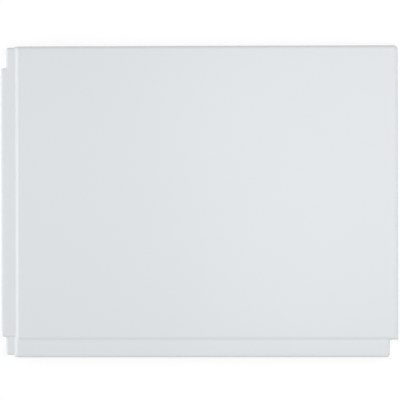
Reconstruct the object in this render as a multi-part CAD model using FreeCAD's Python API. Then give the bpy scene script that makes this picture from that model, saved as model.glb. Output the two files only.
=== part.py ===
import FreeCAD, Part
import math
import os

# One-piece moulded bath end panel, lying face up on its trimmed rim.
# X runs along the panel, Y up its face, Z out of its face. All sizes in mm, angles in degrees.

# Overall sizes, over the rim
panel_width = 688.0
panel_height = 540.0
panel_depth = 40.0

# Sheet, and the draft of the returns bent back all round
sheet_thickness = 3.0
return_draft = 2.0

# Toe plinth along the bottom edge
plinth_height = 30.5
plinth_recess = 3.0
plinth_setback = 14.3

# Joggled strip down the left edge, which a neighbouring panel laps over
strip_width = 22.0
joggle_depth = 5.0
joggle_draft = 40.0
strip_top_drop = 1.7
strip_step_rise = 5.0
strip_foot_rise = 4.0
strip_foot_flare = 1.7

# Tongue standing out from the strip
tongue_width = 9.2
tongue_drop = 37.5

# Radii the sheet takes from the mould, on its hollow side
main_bend = 3.5
plinth_bend = 3.0
strip_bend = 1.5
joggle_bend = 2.0
joggle_knee = 8.0
main_corner = 5.5
plinth_corner = 4.5
strip_corner = 3.0

# Radii of the inside corners, on the show side
step_root = 3.0
foot_root = 1.5
joggle_root = 1.2
tongue_root = 2.5

# Least flat left between two radii, how far hidden ends run into their neighbours,
# and how far cutters run past what they cut
least_flat = 0.5
overlap = 30.0
clearance = 5.0
tolerance = 1e-6

right = panel_width / 2
top = panel_height / 2
bottom = -top
step = bottom + plinth_height
plinth_end = right - plinth_setback
tongue_edge = -right
strip_edge = tongue_edge + tongue_width
joggle_edge = strip_edge + strip_width
strip_top = top - strip_top_drop
strip_step = step + strip_step_rise
strip_foot = bottom + strip_foot_rise
tongue_top = top - tongue_drop
strip_round = strip_corner + sheet_thickness
foot_edge = max(strip_edge - strip_foot_flare, tongue_edge + strip_round + foot_root + least_flat)
tongue_round = min(tongue_root, tongue_width - strip_round - least_flat)
knee_level = panel_depth - joggle_depth - plinth_recess - least_flat
face_bend = max(main_bend, plinth_recess + least_flat)
hollow_root = max(plinth_recess - strip_bend - least_flat, least_flat)
draft_slope = math.tan(math.radians(return_draft))
draft_cosine = math.cos(math.radians(return_draft))
joggle_slope = math.tan(math.radians(joggle_draft))
joggle_sine = math.sin(math.radians(joggle_draft))
joggle_cosine = math.cos(math.radians(joggle_draft))


def wall_inset(skin, level):
    """How far a drafted wall stands inside the rim outline, skin mm into the sheet."""
    return skin / draft_cosine + level * draft_slope


def corner_arc(previous, here, following, radius, inset):
    """Start, middle and end of one square corner's arc, on the outline moved in by inset."""
    arriving = (here - previous).normalize()
    leaving = (following - here).normalize()
    convex = arriving.cross(leaving).z
    across = leaving - arriving
    vertex = here + across * (convex * inset)
    reach = radius - convex * inset if radius else 0
    start = vertex - arriving * reach
    middle = vertex + across * (reach * (1 - math.sqrt(0.5)))
    finish = vertex + leaving * reach
    return start, middle, finish


def outline(corners, inset, level):
    """Closed wire through (x, y, radius) corners, moved in by inset and set at a level."""
    points = [FreeCAD.Vector(x, y, level) for x, y, radius in corners]
    arcs = []
    for index, (x, y, radius) in enumerate(corners):
        following = points[(index + 1) % len(points)]
        arcs.append(corner_arc(points[index - 1], points[index], following, radius, inset))
    edges = []
    for (start, middle, finish), (next_start, _, _) in zip(arcs, arcs[1:] + arcs[:1]):
        if not start.isEqual(finish, tolerance):
            edges.append(Part.Arc(start, middle, finish).toShape())
        edges.append(Part.makeLine(finish, next_start))
    return Part.Wire(edges)


def wall_face(low, high):
    """Flat or conical wall between matching edges of two outlines."""
    side = Part.makeLine(low.firstVertex(True).Point, high.firstVertex(True).Point)
    if isinstance(low.Curve, Part.Circle):
        sweep = math.degrees(low.LastParameter - low.FirstParameter)
        return side.revolve(low.Curve.Center, low.Curve.Axis, sweep)
    corners = [side.Vertexes[0].Point, low.lastVertex(True).Point,
               high.lastVertex(True).Point, side.Vertexes[1].Point]
    return Part.Face(Part.makePolygon(corners + corners[:1]))


def block(corners, level, bend, skin, rim):
    """Solid with drafted walls from the rim up to a level, its top edges rounded as the sheet bends."""
    foot = outline(corners, wall_inset(skin, rim), rim)
    head = outline(corners, wall_inset(skin, level), level)
    faces = [wall_face(low, high) for low, high in zip(foot.Edges, head.Edges)]
    solid = Part.makeSolid(Part.makeShell(faces + [Part.Face(foot), Part.Face(head)]))
    if solid.Volume < 0:
        solid.reverse()
    top_edges = [edge for edge in solid.Edges if edge.BoundBox.ZMin > level - tolerance]
    return solid.makeFillet(bend + sheet_thickness - skin, top_edges)


def round_run(solid, point, radius):
    """Round the edge through a point and every edge that runs smoothly on from it."""
    spot = Part.Vertex(point)
    nearest = min(solid.Edges, key=lambda edge: edge.distToShape(spot)[0])
    return solid.makeFillet(radius, [nearest])


def joggle_x(skin, level):
    """Where the joggle's sloping wall stands at a level, skin mm into the sheet."""
    return joggle_edge + skin / joggle_cosine - (panel_depth - level) * joggle_slope


def beyond_joggle(skin, rim):
    """Everything left of the joggle's sloping wall, which turns upright again under the strip."""
    start = bottom - clearance
    low = rim - clearance
    high = panel_depth + clearance
    far = joggle_edge - 3 * overlap
    outward = FreeCAD.Vector(-joggle_cosine, 0, joggle_sine)
    sideways = FreeCAD.Vector(-1, 0, 0)
    reach = joggle_knee - skin
    knee_centre = FreeCAD.Vector(joggle_x(0, knee_level), start, knee_level) - outward * joggle_knee
    knee_start = knee_centre + outward * reach
    knee_middle = knee_centre + (outward + sideways).normalize() * reach
    knee_finish = knee_centre + sideways * reach
    corners = [(knee_finish.x, low), (far, low), (far, high), (joggle_x(skin, high), high)]
    points = [knee_finish] + [FreeCAD.Vector(x, start, z) for x, z in corners] + [knee_start]
    edges = Part.makePolygon(points).Edges
    edges.append(Part.Arc(knee_start, knee_middle, knee_finish).toShape())
    return Part.Face(Part.Wire(edges)).extrude(FreeCAD.Vector(0, panel_height + 2 * clearance, 0))


def face_body(skin, rim):
    """Main face and toe plinth, ended by the joggle's wall."""
    level = panel_depth - skin
    plinth_level = level - plinth_recess
    main_start = joggle_edge - 2 * overlap
    plinth_start = joggle_edge - overlap
    main_round = main_corner + sheet_thickness
    plinth_round = plinth_corner + sheet_thickness
    main = block([(main_start, step, 0), (right, step, 0), (right, top, main_round), (main_start, top, 0)],
                 level, face_bend, skin, rim)
    plinth = block([(plinth_start, bottom, 0), (plinth_end, bottom, plinth_round),
                    (plinth_end, 0, 0), (plinth_start, 0, 0)],
                   plinth_level, plinth_bend, skin, rim)
    body = main.fuse(plinth).removeSplitter()
    step_foot = FreeCAD.Vector(0, step + wall_inset(skin, plinth_level), plinth_level)
    body = round_run(body, step_foot, step_root + skin)
    body = body.cut(beyond_joggle(skin, rim))
    joggle_top = FreeCAD.Vector(joggle_x(skin, level), 0, level)
    return round_run(body, joggle_top, joggle_bend + sheet_thickness - skin)


def foot_radius(skin):
    """Radius at the foot of the strip's step. On the hollow side it has to fit on the step's wall."""
    return min(foot_root + skin, hollow_root) if skin else foot_root


def strip_body(skin, rim):
    """Joggled strip with its tongue and its share of the toe plinth, run in under the main face."""
    level = panel_depth - joggle_depth - skin
    foot_level = level - plinth_recess
    strip_end = joggle_edge + 2 * overlap
    foot_end = joggle_edge + overlap
    strip = block([(tongue_edge, strip_step, strip_round), (strip_end, strip_step, 0),
                   (strip_end, strip_top, 0), (strip_edge, strip_top, strip_round),
                   (strip_edge, tongue_top, tongue_round), (tongue_edge, tongue_top, strip_round)],
                  level, strip_bend, skin, rim)
    foot = block([(foot_edge, strip_foot, strip_round), (foot_end, strip_foot, 0),
                  (foot_end, 0, 0), (foot_edge, 0, 0)],
                 foot_level, strip_bend, skin, rim)
    body = strip.fuse(foot).removeSplitter()
    step_foot = FreeCAD.Vector(joggle_edge, strip_step + wall_inset(skin, foot_level), foot_level)
    return round_run(body, step_foot, foot_radius(skin))


def skin_body(skin, rim):
    """Everything behind the surface that lies skin mm into the sheet, down to the rim."""
    body = face_body(skin, rim).fuse(strip_body(skin, rim)).removeSplitter()
    strip_level = panel_depth - joggle_depth - skin
    joggle_foot = FreeCAD.Vector(joggle_x(skin, strip_level), 0, strip_level)
    return round_run(body, joggle_foot, min(joggle_root + skin, foot_radius(skin) - least_flat / 2))


def moulded_panel():
    """The formed sheet: its show surface less its hollow side, trimmed at the rim."""
    return skin_body(0, 0).cut(skin_body(sheet_thickness, -clearance))


os.makedirs("parts", exist_ok=True)
moulded_panel().exportStep("parts/moulded_panel.step")
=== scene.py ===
"""Studio view of a moulded bath end panel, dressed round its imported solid.

Sizes are in metres unless a name says otherwise. The panel lies face up: X runs along it,
Y up its face and Z out of its face. Levels of light are linear, and 1 is white.
"""
import logging
import math
from dataclasses import dataclass
from enum import Enum
from typing import Any

import bpy
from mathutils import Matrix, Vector

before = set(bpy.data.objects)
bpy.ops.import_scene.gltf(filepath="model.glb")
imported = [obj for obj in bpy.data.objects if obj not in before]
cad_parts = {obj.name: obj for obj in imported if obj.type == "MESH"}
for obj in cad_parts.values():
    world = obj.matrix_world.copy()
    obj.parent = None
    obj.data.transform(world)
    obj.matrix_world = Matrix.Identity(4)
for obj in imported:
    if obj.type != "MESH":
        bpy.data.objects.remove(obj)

log = logging.getLogger("bath_panel")

Color = tuple[float, float, float]
Point = tuple[float, float, float]

WHITE: Color = (1.0, 1.0, 1.0)
NOISE_MIDDLE = 0.5


class Side(Enum):
    """The three kinds of surface that one formed sheet has."""

    SHOW = "show side"
    HOLLOW = "hollow side"
    RIM = "trimmed rim"


class GrainInput(Enum):
    """Socket names of what the grain group takes."""

    PLACE = "Place"
    DEPTH = "Depth"
    GRAINS = "Grains"


class GrainOutput(Enum):
    """Socket names of what the grain group puts out."""

    TONE = "Tone"
    HEIGHT = "Height"


@dataclass(frozen=True)
class SheetFinish:
    """How one side of the formed sheet looks.

    Attributes:
        color: Linear base colour.
        roughness: Middle of the roughness range.
        smudge: How far the roughness wanders to each side of that.
        tone_depth: Share by which the colour wanders.
        grain_per_metre: How many grains there are in a metre.
        grain_height: Height of the grain.
    """

    color: Color
    roughness: float
    smudge: float
    tone_depth: float
    grain_per_metre: float
    grain_height: float


@dataclass(frozen=True)
class FloorFinish:
    """Pale paper floor that shows white and keeps a faint shadow.

    Attributes:
        color: Linear colour of the paper.
        roughness: Its roughness, with no gloss on top.
        glow: Light that the paper adds for the camera and for reflections.
        tone_depth: Share by which the colour wanders.
        grain_per_metre: How many grains there are in a metre.
        fade_start: How far from the panel's middle the paper starts to fade into the white behind it.
        fade_end: How far out it has gone.
    """

    color: Color = (0.28, 0.28, 0.28)
    roughness: float = 0.9
    glow: float = 0.78
    tone_depth: float = 0.02
    grain_per_metre: float = 180.0
    fade_start: float = 0.6
    fade_end: float = 1.2


FINISHES: dict[Side, SheetFinish] = {
    Side.SHOW: SheetFinish(
        color=(0.845, 0.880, 0.905), roughness=0.16, smudge=0.03,
        tone_depth=0.012, grain_per_metre=210.0, grain_height=4e-6),
    Side.HOLLOW: SheetFinish(
        color=(0.800, 0.825, 0.838), roughness=0.46, smudge=0.08,
        tone_depth=0.035, grain_per_metre=900.0, grain_height=3e-5),
    Side.RIM: SheetFinish(
        color=(0.865, 0.880, 0.885), roughness=0.68, smudge=0.10,
        tone_depth=0.060, grain_per_metre=1400.0, grain_height=8e-5),
}


def rgba(color: Color) -> tuple[float, float, float, float]:
    """The colour with full alpha, as sockets want it."""
    return (*color, 1.0)


@dataclass(frozen=True)
class NodeBench:
    """A node tree, with short calls that add nodes and join their sockets.

    Attributes:
        tree: The tree that the nodes go into.
    """

    tree: bpy.types.NodeTree

    @classmethod
    def cleared(cls, owner: bpy.types.Material | bpy.types.World) -> "NodeBench":
        """Switch on the nodes of a material or a world, and clear them."""
        owner.use_nodes = True
        owner.node_tree.nodes.clear()
        return cls(owner.node_tree)

    def add(self, kind: str, inputs: dict[Any, Any] | None = None, **settings: Any) -> bpy.types.Node:
        """Add a node.

        Args:
            kind: Blender's name of the node's type.
            inputs: Sockets to join, or values to set, by input name or number.
            settings: Properties of the node.

        Returns:
            The new node.
        """
        node = self.tree.nodes.new(kind)
        for name, value in settings.items():
            setattr(node, name, value)
        for name, value in (inputs or {}).items():
            if isinstance(value, bpy.types.NodeSocket):
                self.tree.links.new(value, node.inputs[name])
            else:
                node.inputs[name].default_value = value
        return node

    def math(self, operation: str, *values: Any) -> bpy.types.NodeSocket:
        """Add a Math node and give its result."""
        return self.add("ShaderNodeMath", dict(enumerate(values)), operation=operation).outputs[0]

    # A Mix node has sockets of the same names for numbers and for colours, so they go by number.

    def mix(self, share: Any, low: Any, high: Any) -> bpy.types.NodeSocket:
        """Mix two numbers by a share and give the result."""
        inputs = {0: share, 2: low, 3: high}
        return self.add("ShaderNodeMix", inputs, data_type="FLOAT").outputs[0]

    def mix_color(self, share: Any, low: Any, high: Any, blend: str = "MIX") -> bpy.types.NodeSocket:
        """Mix two colours by a share and give the result."""
        inputs = {0: share, 6: low, 7: high}
        return self.add("ShaderNodeMix", inputs, data_type="RGBA", blend_type=blend).outputs[2]

    def axes(self, vector: bpy.types.NodeSocket) -> bpy.types.NodeOutputs:
        """Split a vector and give its sockets X, Y and Z."""
        return self.add("ShaderNodeSeparateXYZ", {0: vector}).outputs

    def noise(self, place: bpy.types.NodeSocket, per_metre: Any, detail: float) -> bpy.types.NodeSocket:
        """Add a noise field and give its value, from 0 to 1."""
        inputs = {"Vector": place, "Scale": per_metre, "Detail": detail}
        return self.add("ShaderNodeTexNoise", inputs).outputs[0]

    def seen(self) -> bpy.types.NodeSocket:
        """Give a mask of the rays that look at a background, straight, mirrored or through something."""
        rays = self.add("ShaderNodeLightPath").outputs
        mirrored = self.math("MAXIMUM", rays["Is Glossy Ray"], rays["Is Transmission Ray"])
        return self.math("MAXIMUM", rays["Is Camera Ray"], mirrored)

    def grained(self, grain: bpy.types.ShaderNodeTree, place: bpy.types.NodeSocket,
                finish: SheetFinish | FloorFinish) -> tuple[bpy.types.NodeSocket, bpy.types.NodeSocket]:
        """Place the grain group with a finish's own values.

        Args:
            grain: The shared group of tone and grain.
            place: Where on the piece a point is.
            finish: The finish.

        Returns:
            The finish's colour with its clouds of tone, and the grain's height from 0 to 1.
        """
        group = self.add("ShaderNodeGroup", {
            GrainInput.PLACE.value: place,
            GrainInput.DEPTH.value: finish.tone_depth,
            GrainInput.GRAINS.value: finish.grain_per_metre}, node_tree=grain)
        tone = group.outputs[GrainOutput.TONE.value]
        shade = self.add("ShaderNodeCombineColor", {0: tone, 1: tone, 2: tone}).outputs[0]
        color = self.mix_color(1.0, rgba(finish.color), shade, "MULTIPLY")
        return color, group.outputs[GrainOutput.HEIGHT.value]


@dataclass(frozen=True)
class SheetGrain:
    """Cloudy tone and fine grain, which the panel and the floor share.

    Attributes:
        cloud_per_metre: How many clouds of tone there are in a metre.
        cloud_detail: How many finer layers the clouds have.
        grain_detail: How many finer layers the grain has.
    """

    cloud_per_metre: float = 7.0
    cloud_detail: float = 3.0
    grain_detail: float = 2.0

    def build(self) -> bpy.types.ShaderNodeTree:
        """Build the node group.

        Returns:
            A group that puts out a tone near 1, to multiply a colour by, and a height from 0 to 1.
        """
        group = bpy.data.node_groups.new("sheet_grain", "ShaderNodeTree")
        for given in GrainInput:
            kind = "NodeSocketVector" if given is GrainInput.PLACE else "NodeSocketFloat"
            group.interface.new_socket(given.value, in_out="INPUT", socket_type=kind)
        for output in GrainOutput:
            group.interface.new_socket(output.value, in_out="OUTPUT", socket_type="NodeSocketFloat")
        bench = NodeBench(group)
        taken = bench.add("NodeGroupInput").outputs
        place = taken[GrainInput.PLACE.value]
        cloud = bench.noise(place, self.cloud_per_metre, self.cloud_detail)
        centred = bench.math("SUBTRACT", cloud, NOISE_MIDDLE)
        tone = bench.math("MULTIPLY_ADD", centred, taken[GrainInput.DEPTH.value], 1.0)
        height = bench.noise(place, taken[GrainInput.GRAINS.value], self.grain_detail)
        bench.add("NodeGroupOutput", {GrainOutput.TONE.value: tone, GrainOutput.HEIGHT.value: height})
        return group


@dataclass(frozen=True)
class SideLook:
    """Sockets that hold the look of one side of the sheet, or of several.

    Attributes:
        color: Base colour.
        roughness: Roughness.
        height: Height of the grain.
    """

    color: bpy.types.NodeSocket
    roughness: bpy.types.NodeSocket
    height: bpy.types.NodeSocket

    def under(self, bench: NodeBench, mask: bpy.types.NodeSocket, other: "SideLook") -> "SideLook":
        """Put another look in this one's place where a mask is 1.

        Args:
            bench: The material's nodes.
            mask: Where the other look goes.
            other: The other look.

        Returns:
            The two looks as one.
        """
        return SideLook(
            color=bench.mix_color(mask, self.color, other.color),
            roughness=bench.mix(mask, self.roughness, other.roughness),
            height=bench.mix(mask, self.height, other.height))


@dataclass
class MouldedPanel:
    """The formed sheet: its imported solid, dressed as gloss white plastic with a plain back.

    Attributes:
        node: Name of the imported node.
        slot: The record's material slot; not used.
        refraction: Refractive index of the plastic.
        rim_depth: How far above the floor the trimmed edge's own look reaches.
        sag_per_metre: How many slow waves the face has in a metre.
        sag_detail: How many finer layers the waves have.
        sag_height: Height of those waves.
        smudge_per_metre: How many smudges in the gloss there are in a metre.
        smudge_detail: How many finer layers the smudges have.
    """

    node: str = "moulded_panel"
    slot: str = "gloss_white"
    refraction: float = 1.49
    rim_depth: float = 2e-4
    sag_per_metre: float = 5.0
    sag_detail: float = 1.0
    sag_height: float = 1.2e-4
    smudge_per_metre: float = 14.0
    smudge_detail: float = 4.0

    def dress(self, grain: bpy.types.ShaderNodeTree) -> bpy.types.Object:
        """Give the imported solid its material.

        Args:
            grain: The shared group of tone and grain.

        Returns:
            The dressed object.
        """
        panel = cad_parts[self.node]
        panel.data.materials.clear()
        panel.data.materials.append(self.material(grain))
        return panel

    def material(self, grain: bpy.types.ShaderNodeTree) -> bpy.types.Material:
        """Build the sheet's material, with its own look on each side.

        Args:
            grain: The shared group of tone and grain.

        Returns:
            The material.
        """
        material = bpy.data.materials.new("formed_sheet")
        bench = NodeBench.cleared(material)
        place = bench.add("ShaderNodeTexCoord").outputs["Object"]
        hollow, rim = self.side_masks(bench, place)
        show_look = self.side_look(bench, grain, place, FINISHES[Side.SHOW])
        hollow_look = self.side_look(bench, grain, place, FINISHES[Side.HOLLOW])
        rim_look = self.side_look(bench, grain, self.saw_place(bench, place), FINISHES[Side.RIM])
        look = show_look.under(bench, hollow, hollow_look.under(bench, rim, rim_look))
        wave = bench.noise(place, self.sag_per_metre, self.sag_detail)
        height = bench.math("MULTIPLY_ADD", wave, self.sag_height, look.height)
        bump = bench.add("ShaderNodeBump", {"Height": height, "Distance": 1.0, "Strength": 1.0})
        shader = bench.add("ShaderNodeBsdfPrincipled", {
            "Base Color": look.color, "Roughness": look.roughness, "Normal": bump.outputs[0],
            "IOR": self.refraction})
        bench.add("ShaderNodeOutputMaterial", {"Surface": shader.outputs[0]})
        return material

    def side_masks(self, bench: NodeBench, place: bpy.types.NodeSocket) -> list[bpy.types.NodeSocket]:
        """Tell the sheet's sides apart by which way they face.

        Args:
            bench: The material's nodes.
            place: Where on the panel a point is.

        Returns:
            Masks of everything that faces down, and of the trimmed rim among it.
        """
        facing = bench.add("ShaderNodeNewGeometry").outputs["True Normal"]
        hollow = bench.math("LESS_THAN", bench.axes(facing)["Z"], 0.0)
        low = bench.math("LESS_THAN", bench.axes(place)["Z"], self.rim_depth)
        return [hollow, bench.math("MULTIPLY", hollow, low)]

    def saw_place(self, bench: NodeBench, place: bpy.types.NodeSocket) -> bpy.types.NodeSocket:
        """Stretch the grain across the rim, as a trimming saw leaves it.

        Args:
            bench: The material's nodes.
            place: Where on the panel a point is.

        Returns:
            A place that changes only along the rim's runs.
        """
        axes = bench.axes(place)
        along = bench.math("ADD", axes["X"], axes["Y"])
        return bench.add("ShaderNodeCombineXYZ", {"X": along}).outputs[0]

    def side_look(self, bench: NodeBench, grain: bpy.types.ShaderNodeTree,
                  place: bpy.types.NodeSocket, finish: SheetFinish) -> SideLook:
        """Work out the look of one side.

        Args:
            bench: The material's nodes.
            grain: The shared group of tone and grain.
            place: Where on the panel a point is.
            finish: That side's finish.

        Returns:
            The side's look.
        """
        color, height = bench.grained(grain, place, finish)
        smudge = bench.noise(place, self.smudge_per_metre, self.smudge_detail)
        centred = bench.math("SUBTRACT", smudge, NOISE_MIDDLE)
        return SideLook(
            color=color,
            roughness=bench.math("MULTIPLY_ADD", centred, 2 * finish.smudge, finish.roughness),
            height=bench.math("MULTIPLY", height, finish.grain_height))


@dataclass(frozen=True)
class Softbox:
    """One soft lamp, aimed at the middle of the panel, that neither the camera nor the gloss shows.

    Attributes:
        name: What the lamp is called.
        place: Where its middle stands.
        width: Its size across.
        height: Its size upward.
        watts: Its power.
    """

    name: str
    place: Point
    width: float
    height: float
    watts: float

    def build(self) -> bpy.types.Object:
        """Stand the lamp in the scene and give its object."""
        light = bpy.data.lights.new(self.name, "AREA")
        light.shape = "RECTANGLE"
        light.size = self.width
        light.size_y = self.height
        light.energy = self.watts
        lamp = bpy.data.objects.new(self.name, light)
        lamp.location = self.place
        lamp.rotation_mode = "QUATERNION"
        lamp.rotation_quaternion = (-Vector(self.place)).to_track_quat("-Z", "Y")
        lamp.visible_camera = False
        lamp.visible_glossy = False
        bpy.context.scene.collection.objects.link(lamp)
        return lamp


@dataclass
class Studio:
    """Paper floor, soft lamps and the tent round them.

    Attributes:
        floor: The floor's finish.
        floor_drop: How far the floor lies below the rim, so that the two never share a plane.
        tent_level: Light from the tent's roof and from its wall at the panel's head.
        side_gain: What its left and right walls add to that.
        foot_gain: What its wall at the panel's foot adds.
        ground_level: Light that comes back up from the floor.
        softboxes: The lamps.
    """

    floor: FloorFinish = FloorFinish()
    floor_drop: float = 3e-4
    tent_level: float = 0.225
    side_gain: float = 0.35
    foot_gain: float = 0.19
    ground_level: float = 0.56
    softboxes: tuple[Softbox, ...] = (
        Softbox("overhead_softbox", place=(0.38, 0.08, 1.25), width=0.9, height=0.9, watts=6.8),
        Softbox("left_softbox", place=(-1.6, 0.0, 0.45), width=1.8, height=0.5, watts=11.1),
        Softbox("right_softbox", place=(1.6, 0.0, 0.45), width=1.8, height=0.5, watts=2.2),
    )

    def build(self, grain: bpy.types.ShaderNodeTree) -> list[bpy.types.Object]:
        """Lay the floor, stand the lamps and light the tent.

        Args:
            grain: The shared group of tone and grain.

        Returns:
            The floor and the lamps.
        """
        self.light_tent()
        return [self.lay_floor(grain), *(softbox.build() for softbox in self.softboxes)]

    def lay_floor(self, grain: bpy.types.ShaderNodeTree) -> bpy.types.Object:
        """Lay the paper floor under the panel's rim.

        Args:
            grain: The shared group of tone and grain.

        Returns:
            The floor, which shows from above and leaves the panel's light to the tent.
        """
        reach = self.floor.fade_end
        mesh = bpy.data.meshes.new("paper_floor")
        outline = ((-reach, -reach), (reach, -reach), (reach, reach), (-reach, reach))
        corners = [(x, y, -self.floor_drop) for x, y in outline]
        mesh.from_pydata(corners, [], [range(len(corners))])
        mesh.materials.append(self.floor_material(grain))
        floor = bpy.data.objects.new("paper_floor", mesh)
        floor.visible_diffuse = False
        floor.visible_shadow = False
        bpy.context.scene.collection.objects.link(floor)
        return floor

    def floor_material(self, grain: bpy.types.ShaderNodeTree) -> bpy.types.Material:
        """Build the paper's material, which is clear from below and far out.

        Args:
            grain: The shared group of tone and grain.

        Returns:
            The material.
        """
        material = bpy.data.materials.new("pale_paper")
        bench = NodeBench.cleared(material)
        place = bench.add("ShaderNodeTexCoord").outputs["Object"]
        color, _ = bench.grained(grain, place, self.floor)
        glow = bench.math("MULTIPLY", bench.seen(), self.floor.glow)
        reach = bench.add("ShaderNodeVectorMath", {0: place}, operation="LENGTH").outputs["Value"]
        near = bench.add("ShaderNodeMapRange", {
            "Value": reach, "From Min": self.floor.fade_start, "From Max": self.floor.fade_end,
            "To Min": 1.0, "To Max": 0.0}, interpolation_type="SMOOTHSTEP").outputs["Result"]
        below = bench.add("ShaderNodeNewGeometry").outputs["Backfacing"]
        above = bench.math("SUBTRACT", 1.0, below)
        paper = bench.add("ShaderNodeBsdfPrincipled", {
            "Base Color": color, "Roughness": self.floor.roughness, "Specular IOR Level": 0.0,
            "Emission Color": rgba(WHITE), "Emission Strength": glow,
            "Alpha": bench.math("MULTIPLY", near, above)})
        bench.add("ShaderNodeOutputMaterial", {"Surface": paper.outputs[0]})
        return material

    def light_tent(self) -> None:
        """Light the world as a white tent with brighter walls at the left, the right and the foot."""
        world = bpy.data.worlds.new("white_tent")
        bench = NodeBench.cleared(world)
        heading = bench.axes(bench.add("ShaderNodeTexCoord").outputs["Generated"])
        side = bench.math("ABSOLUTE", heading["X"])
        foot = bench.math("MAXIMUM", bench.math("MULTIPLY", heading["Y"], -1.0), 0.0)
        level = bench.math("MULTIPLY_ADD", side, self.side_gain, self.tent_level)
        level = bench.math("MULTIPLY_ADD", foot, self.foot_gain, level)
        below = bench.math("LESS_THAN", heading["Z"], 0.0)
        level = bench.mix(below, level, self.ground_level)
        strength = bench.mix(bench.seen(), level, 1.0)
        light = bench.add("ShaderNodeBackground", {"Color": rgba(WHITE), "Strength": strength})
        bench.add("ShaderNodeOutputWorld", {"Surface": light.outputs[0]})
        bpy.context.scene.world = world


@dataclass(frozen=True)
class OverheadCamera:
    """Camera that looks down on the panel's face.

    Attributes:
        place: Where the camera hangs.
        turn_degrees: How far it is turned about X, Y and Z from looking straight down.
        lens_mm: Focal length.
        sensor_mm: Width of the picture on the sensor.
    """

    place: Point = (0.05077, 0.01547, 3.0)
    turn_degrees: Point = (-0.2444, 0.9515, -0.1195)
    lens_mm: float = 154.72
    sensor_mm: float = 36.0

    def build(self) -> bpy.types.Object:
        """Hang the camera and make it the scene's own."""
        data = bpy.data.cameras.new("overhead_camera")
        data.lens = self.lens_mm
        data.sensor_width = self.sensor_mm
        camera = bpy.data.objects.new("overhead_camera", data)
        camera.location = self.place
        camera.rotation_euler = [math.radians(angle) for angle in self.turn_degrees]
        bpy.context.scene.collection.objects.link(camera)
        bpy.context.scene.camera = camera
        return camera


def main() -> None:
    """Dress the panel, set up the studio and hang the camera."""
    logging.basicConfig(level=logging.INFO)
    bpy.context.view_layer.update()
    bpy.context.scene.view_settings.view_transform = "Standard"
    grain = SheetGrain().build()
    panel = MouldedPanel().dress(grain)
    log.info("panel: %s, %d faces", panel.name, len(panel.data.polygons))
    for item in Studio().build(grain):
        log.info("studio: %s", item.name)
    camera = OverheadCamera().build()
    log.info("camera: %s, lens %.1f mm", camera.name, camera.data.lens)


if __name__ == "__main__":
    main()
